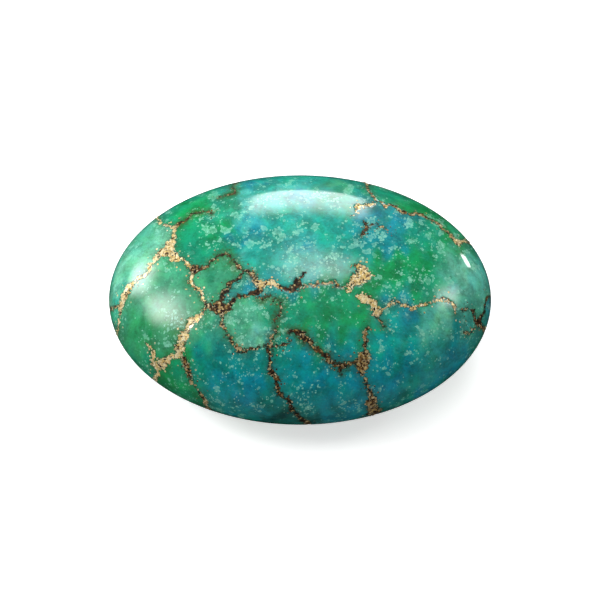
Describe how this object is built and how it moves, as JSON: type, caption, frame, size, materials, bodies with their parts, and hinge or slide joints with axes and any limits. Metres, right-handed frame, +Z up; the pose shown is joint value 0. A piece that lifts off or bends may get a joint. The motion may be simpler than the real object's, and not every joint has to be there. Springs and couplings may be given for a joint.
{
  "type": "polished turquoise cabochon",
  "caption": "Polished oval turquoise stone with metallic matrix veins, domed on top, rounded below and resting on a small flat base.",
  "frame": {"origin": "centre of the flat base", "axes": "+X along the stone's long axis, +Y across it, +Z up through the crown of the dome"},
  "size_m": [0.0382, 0.0272, 0.0135],
  "materials": {
    "webbed_turquoise": "high polish over green to blue turquoise with bronze and black matrix veins; the flat base is lapped satin"
  },
  "bodies": {
    "root": {"turquoise_stone": "webbed_turquoise"}
  },
  "joints": []
}
